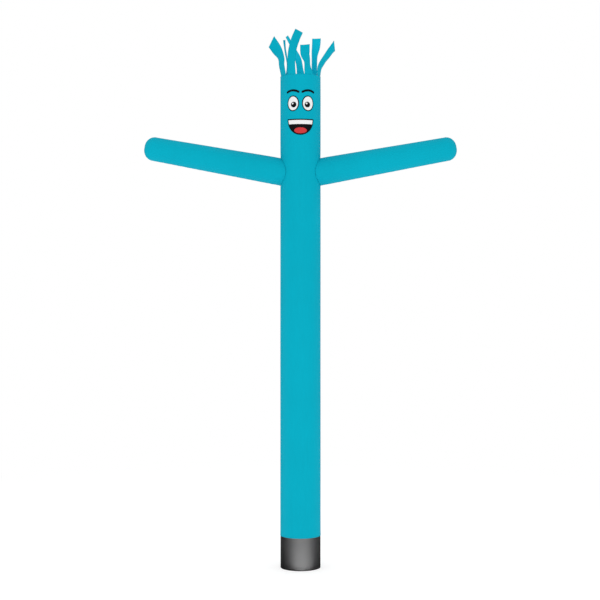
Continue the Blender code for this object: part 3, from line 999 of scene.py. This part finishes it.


# Hair -----------------------------------------------------------------------------------
# Seven loose strips of the same nylon, hot cut and sewn into the crown seam, coated side in.
# That inner side is painted paler than the face, as painted light for light the thin cloth lets
# through. The air that leaks past the seam carries them, each its own way.

STRIP_CLOTH = 0.0009
# painted light: the strips' inner side is painted this much paler than their face
INSIDE_PAINTED_LIGHT = 1.24        # the coated side of the cloth, beside its face
STRIP_RIM = 0.2268         # radius of the strips' seam
STRIP_STEP = 0.01          # share of a strip that gives its direction
STRIP_FLATTENS = 0.14      # rise over which the section flattens
STRIP_CURVE_LEFT = 0.25
STRIP_FLUTTER = 0.0022
STRIP_CALM = 0.35          # share of a strip over which the flutter grows
STRIP_WAVE = 9             # radians of the flutter along a strip
# a finer ripple beside it: its share, and its radians along a strip and over a metre across
STRIP_RIPPLE = (0.6, 17, 40)
STRIP_ROWS = 52
STRIP_COLUMNS = 14
# rim angle from the front in degrees, width, lead of the tip's cut along one edge, flutter's
# phase, and the points on the middle line: rise, across, depth, and heading in degrees
HAIR_STRIPS = (
    (-62.0, 0.120, 0.041, 0.2,
     ((0.110, -0.213, -0.118, -58.0), (0.190, -0.224, -0.150, -46.0),
      (0.270, -0.266, -0.215, -18.0), (0.342, -0.324, -0.300, -8.0))),
    (-26.0, 0.098, -0.009, 1.3,
     ((0.130, -0.104, -0.212, -26.0), (0.260, -0.093, -0.222, -20.0),
      (0.380, -0.060, -0.215, -12.0), (0.490, -0.016, -0.190, -8.0))),
    (25.0, 0.106, 0.002, 2.1,
     ((0.080, 0.082, -0.218, 46.0), (0.152, 0.073, -0.248, 44.0),
      (0.212, 0.052, -0.292, 8.0), (0.291, 0.049, -0.385, 0.0))),
    (70.0, 0.098, -0.064, 3.0,
     ((0.090, 0.220, -0.092, 58.0), (0.167, 0.260, -0.122, 50.0),
      (0.243, 0.323, -0.175, 40.0), (0.305, 0.381, -0.245, 30.0))),
    (133.0, 0.100, -0.002, 4.4,
     ((0.120, 0.161, 0.182, 130.0), (0.248, 0.162, 0.205, 130.0),
      (0.379, 0.180, 0.240, 160.0), (0.499, 0.186, 0.285, 178.0))),
    (179.0, 0.096, -0.022, 5.1,
     ((0.120, -0.004, 0.240, 212.0), (0.248, -0.026, 0.262, 220.0),
      (0.378, -0.080, 0.290, 236.0), (0.535, -0.159, 0.328, 242.0))),
    (-139.0, 0.098, -0.030, 0.9,
     ((0.110, -0.146, 0.182, -108.0), (0.229, -0.158, 0.200, -104.0),
      (0.346, -0.175, 0.232, -106.0), (0.481, -0.191, 0.285, -108.0))),
)


def smooth_curve(points, share):
    """Catmull-Rom curve through the rows of an array, at a share of its whole run."""
    place = share * (len(points) - 1)
    leg = min(int(place), len(points) - 2)
    t = place - leg
    before = points[max(leg - 1, 0)]
    start, end = points[leg], points[leg + 1]
    after = points[min(leg + 2, len(points) - 1)]
    return 0.5 * (2 * start + (end - before) * t
                  + (2 * before - 5 * start + 4 * end - after) * t ** 2
                  + (3 * start - 3 * end + after - before) * t ** 3)


def strip_point(route, share, across, lead, flutter):
    """A point on a strip, whose section flattens as it rises."""
    rise, x, y, heading = smooth_curve(route, share)
    start = min(share, 1 - STRIP_STEP)
    along = smooth_curve(route, start + STRIP_STEP) - smooth_curve(route, start)
    along = Vector((along[1], along[2], along[0])).normalized()
    facing = Vector((*around(math.radians(heading), 1), 0))
    width_way = along.cross(facing).normalized()
    outwards = width_way.cross(along)
    flat = float(eased(rise / STRIP_FLATTENS))
    bend = (1 - flat * (1 - STRIP_CURVE_LEFT)) / STRIP_RIM
    sideways = math.sin(bend * across) / bend
    inwards = (1 - math.cos(bend * across)) / bend
    middle = Vector((x, y, rise)) + along * lead * share ** 2
    finer, along_turn, across_turn = STRIP_RIPPLE
    ripple = math.sin(STRIP_WAVE * share + flutter)
    ripple += finer * math.sin(along_turn * share + across_turn * across + 2 * flutter)
    ripple *= STRIP_FLUTTER * float(eased(share / STRIP_CALM))
    return middle + width_way * sideways + outwards * (ripple - inwards)


def make_strip(number, finishes, rim_degrees, width, slant, flutter, places):
    """Lays one strip. Its first two rows are sewn into the crown seam, below the rise."""
    rim = math.radians(rim_degrees)
    route = np.array(((0.0, *around(rim, STRIP_RIM), rim_degrees), *places))
    columns = np.linspace(-width / 2, width / 2, STRIP_COLUMNS + 1)
    rows = [[Vector((*around(rim + across / STRIP_RIM, STRIP_RIM), depth)) for across in columns]
            for depth in (-CROWN_SEAM, -CROWN_SEAM / 2)]
    rows += [[strip_point(route, share, across, slant * across / (width / 2), flutter)
              for across in columns] for share in np.linspace(0, 1, STRIP_ROWS + 1)]
    points = [[(p.x, p.y, p.z + TUBE_TOP) for p in row] for row in rows]
    middle = [row[STRIP_COLUMNS // 2] for row in rows[2:]]
    steps = [(end - start).length for start, end in zip(middle, middle[1:])]
    run = np.cumsum([0.0, CROWN_SEAM / 2, CROWN_SEAM / 2, *steps])
    flat = np.stack(np.meshgrid(columns, run), axis=-1)
    mesh = lay_cloth(f"hair_cloth_{number}", np.array(points), flat)
    edge = mesh.attributes.new("from_edge", "FLOAT", "POINT")
    from_edge = np.minimum(width / 2 - np.abs(flat[..., 0]), run[-1] - flat[..., 1])
    edge.data.foreach_set("value", from_edge.astype(np.float32).ravel())
    strip = teal_piece(mesh, f"hair_strip_{number}", finishes[0], STRIP_CLOTH, finishes[1])


# the inner side's finish is the same cloth painted paler: painted light
strip_finishes = (ripstop_cloth("teal_ripstop_cut", hot_cut=True),
                  ripstop_cloth("teal_ripstop_inside_painted_light", INSIDE_PAINTED_LIGHT, hot_cut=True))
for number, strip_facts in enumerate(HAIR_STRIPS, 1):
    make_strip(number, strip_finishes, *strip_facts)


# Face -----------------------------------------------------------------------------------
# Plain patches of black, white and red cloth, laid one over another on the rolled tube and
# stitched round their edges. They follow the tube's face, each layer on the one below.

PATCH_ROOM = 0.0010        # thickness that each layer has to itself
PATCH_CLOTH = 0.0004
PATCH_SEAM = 0.0032        # from a patch's edge to its stitches
PATCH_EDGE = 0.0009        # width of the pressed edge
PATCH_EDGE_DROP = 0.0005
PATCH_THREAD_LIFT = 0.0002
SLIVER = 0.0004            # points closer than this are joined
EYE_ACROSS = 0.086
EYE_HEIGHT = 5.240
EYE_RIM = (0.070, 0.088)
EYE_BORDER = 0.011
PUPIL_RADIUS = 0.032
PUPIL_PLACE = (0.078, 5.226)
GLINT_RADIUS = 0.010
GLINT_OFFSET = (-0.010, 0.012)
BROW_ACROSS = 0.090
BROW_HEIGHT = 5.256
BROW_ARC = 0.130
BROW_SPAN = math.radians(31)
BROW_HALF_WIDTH = 0.012
MOUTH_HALF_WIDTH = 0.156
MOUTH_TOP = 5.066
MOUTH_DEPTH = 0.180
MOUTH_BORDER = 0.013
TEETH_HEIGHT = 0.046
TONGUE = (0.072, 0.034)
TONGUE_HEIGHT = 4.936
OUTLINE_STEPS = 96
SLICE = 0.010              # width of the slices that let a patch bend round the tube
TWILL = 0.0024             # pitch of the patch cloth's diagonal
# each patch cloth's colour, and how far its tone strays from it
PATCH_CLOTHS = {
    "black": ((0.006, 0.006, 0.008), 0.35),
    "white": ((0.900, 0.900, 0.900), 0.04),
    "red": ((0.640, 0.045, 0.050), 0.12),
}
WHITE_THREAD = (0.72, 0.72, 0.72)
RED_THREAD = (0.50, 0.03, 0.035)


def patch_finish(name, colour, contrast):
    """Matt twill, whose diagonal ribs catch a little light."""
    material, bench, sockets = new_finish(name, 0.6, 0.12)
    flat = flat_place(bench)
    rib = (flat.out("X") + flat.out("Y")).to_nearest(TWILL).rise(0.0, TWILL / 2)
    clouds = mottle(bench, 14.0, 3.0)
    tone = 0.5 + (clouds - 0.5) * 0.8 + (rib - 0.5) * 0.3
    colours = shade(colour, 1 - contrast), shade(colour, 1 + contrast)
    plug(sockets, Base_Color=bench.blend(tone, *colours), Normal=rib.bump(0.2, 0.0003),
         Roughness=0.56 + clouds * 0.1)
    return material


def arc(across, height, half_width, half_height, start, end, steps):
    angles = [start + (end - start) * step / steps for step in range(steps + 1)]
    return [(across + half_width * math.cos(a), height + half_height * math.sin(a))
            for a in angles]


def oval(across, height, half_width, half_height):
    return arc(across, height, half_width, half_height, 0, 2 * math.pi, OUTLINE_STEPS)[:-1]


def brow(side):
    """An arched bar with round ends."""
    across = side * BROW_ACROSS
    low, high = math.pi / 2 - BROW_SPAN, math.pi / 2 + BROW_SPAN
    outline = []
    for way, start, end in ((1, low, high), (-1, high, low)):
        radius = BROW_ARC + way * BROW_HALF_WIDTH
        outline += arc(across, BROW_HEIGHT, radius, radius, start, end, OUTLINE_STEPS // 3)
        end_across = across + BROW_ARC * math.cos(end)
        end_height = BROW_HEIGHT + BROW_ARC * math.sin(end)
        turn = end if way > 0 else end + math.pi
        outline += arc(end_across, end_height, BROW_HALF_WIDTH, BROW_HALF_WIDTH,
                       turn, turn + math.pi, OUTLINE_STEPS // 6)[1:-1]
    return outline


def level_run(left, right, height, steps):
    return [(left + (right - left) * step / steps, height) for step in range(1, steps)]


def half_moon(half_width, top, depth):
    """A level upper edge with half an oval hanging from it."""
    outline = arc(0, top, half_width, depth, -math.pi, 0, OUTLINE_STEPS)
    return outline + level_run(half_width, -half_width, top, OUTLINE_STEPS // 2)


def top_band(half_width, top, depth, height):
    """The uppermost part of a half moon, down to a level lower edge."""
    side = math.asin(height / depth)
    left = arc(0, top, half_width, depth, -math.pi, side - math.pi, OUTLINE_STEPS // 6)
    right = arc(0, top, half_width, depth, -side, 0, OUTLINE_STEPS // 6)
    lower = level_run(left[-1][0], right[0][0], top - height, OUTLINE_STEPS // 2)
    return left + lower + right + level_run(half_width, -half_width, top, OUTLINE_STEPS // 2)


def drawn_in(outline, inset):
    """An outline moved inwards by an inset."""
    places = np.array(outline)
    ways = np.roll(places, -1, axis=0) - np.roll(places, 1, axis=0)
    ways /= np.linalg.norm(ways, axis=1)[:, None]
    return places + inset * np.stack([-ways[:, 1], ways[:, 0]], axis=-1)


def add_patch(node, outline, layer, finish):
    """Cuts, slices, lays and thickens one patch. Returns its line of stitches."""
    bm = bmesh.new()
    face = bm.faces.new([bm.verts.new((u, 0, v)) for u, v in outline])
    face.normal_update()
    low = np.min(outline, axis=0)
    high = np.max(outline, axis=0)
    for axis, way in ((0, (1, 0, 0)), (1, (0, 0, 1))):
        first, last = math.ceil(low[axis] / SLICE), math.floor(high[axis] / SLICE)
        for line in range(first, last + 1):
            place = [0, 0, 0]
            place[2 * axis] = line * SLICE
            bmesh.ops.bisect_plane(bm, geom=bm.verts[:] + bm.edges[:] + bm.faces[:],
                                   plane_co=place, plane_no=way, dist=1e-7)
    bmesh.ops.remove_doubles(bm, verts=bm.verts, dist=SLIVER)
    bmesh.ops.inset_region(bm, faces=bm.faces[:], thickness=PATCH_EDGE, use_even_offset=True)
    bmesh.ops.triangulate(bm, faces=[f for f in bm.faces if len(f.verts) > 4])
    weave = bm.loops.layers.uv.new("cloth")
    stand = bm.verts.layers.float.new("stand")
    for corner in (corner for face in bm.faces for corner in face.loops):
        corner[weave].uv = (corner.vert.co.x, corner.vert.co.z)
    lift = GAP + layer * (PATCH_ROOM + GAP) + PATCH_ROOM
    places = np.array([vert.co for vert in bm.verts])
    stands = tube_stand(places[:, 0], places[:, 2]) + lift
    for vert, height in zip(bm.verts, stands):
        vert[stand] = height - (PATCH_EDGE_DROP if vert.is_boundary else 0)
        vert.co.y = 0
    patch = put(f"{node}_patch", mesh_from(bm, f"{node}_patch"))
    patch.data.shade_smooth()
    work(patch, roll, Radius=TUBE_RADIUS, Finish=finish)
    thicken(patch, PATCH_CLOTH)
    settle(patch, node)
    seam = drawn_in(outline, PATCH_SEAM)
    return on_tube(seam[:, 0], seam[:, 1], lift + PATCH_THREAD_LIFT), True


twills = {colour: patch_finish(f"{colour}_twill", *facts)
          for colour, facts in PATCH_CLOTHS.items()}
eye_white = [half_axis - EYE_BORDER for half_axis in EYE_RIM]
inner_mouth = (MOUTH_HALF_WIDTH - MOUTH_BORDER, MOUTH_TOP - MOUTH_BORDER,
               MOUTH_DEPTH - 2 * MOUTH_BORDER)
patches = []               # node, outline, layer and colour
for label, side in ARM_SIDES:
    eye = (side * EYE_ACROSS, EYE_HEIGHT)
    look = (side * PUPIL_PLACE[0], PUPIL_PLACE[1])
    glint = (look[0] + GLINT_OFFSET[0], look[1] + GLINT_OFFSET[1])
    patches += [
        (f"brow_{label}", brow(side), 0, "black"),
        (f"eye_rim_{label}", oval(*eye, *EYE_RIM), 0, "black"),
        (f"pupil_{label}", oval(*look, PUPIL_RADIUS, PUPIL_RADIUS), 2, "black"),
        (f"eye_white_{label}", oval(*eye, *eye_white), 1, "white"),
        (f"glint_{label}", oval(*glint, GLINT_RADIUS, GLINT_RADIUS), 3, "white")]
patches += [
    ("mouth", half_moon(MOUTH_HALF_WIDTH, MOUTH_TOP, MOUTH_DEPTH), 0, "black"),
    ("teeth", top_band(*inner_mouth, TEETH_HEIGHT), 1, "white"),
    ("tongue", oval(0, TONGUE_HEIGHT, *TONGUE), 1, "red")]
seams = {colour: [] for colour in twills}
for node, outline, layer, colour in patches:
    seam = add_patch(node, outline, layer, twills[colour])
    seams[colour].append(seam)
threads = {"black": black_thread, "white": thread_finish("white_thread", WHITE_THREAD),
           "red": thread_finish("red_thread", RED_THREAD)}
for colour, lines in seams.items():
    sew(f"{colour}_face_stitches", lines, threads[colour],
        pitch=0.005, thread=0.0005)
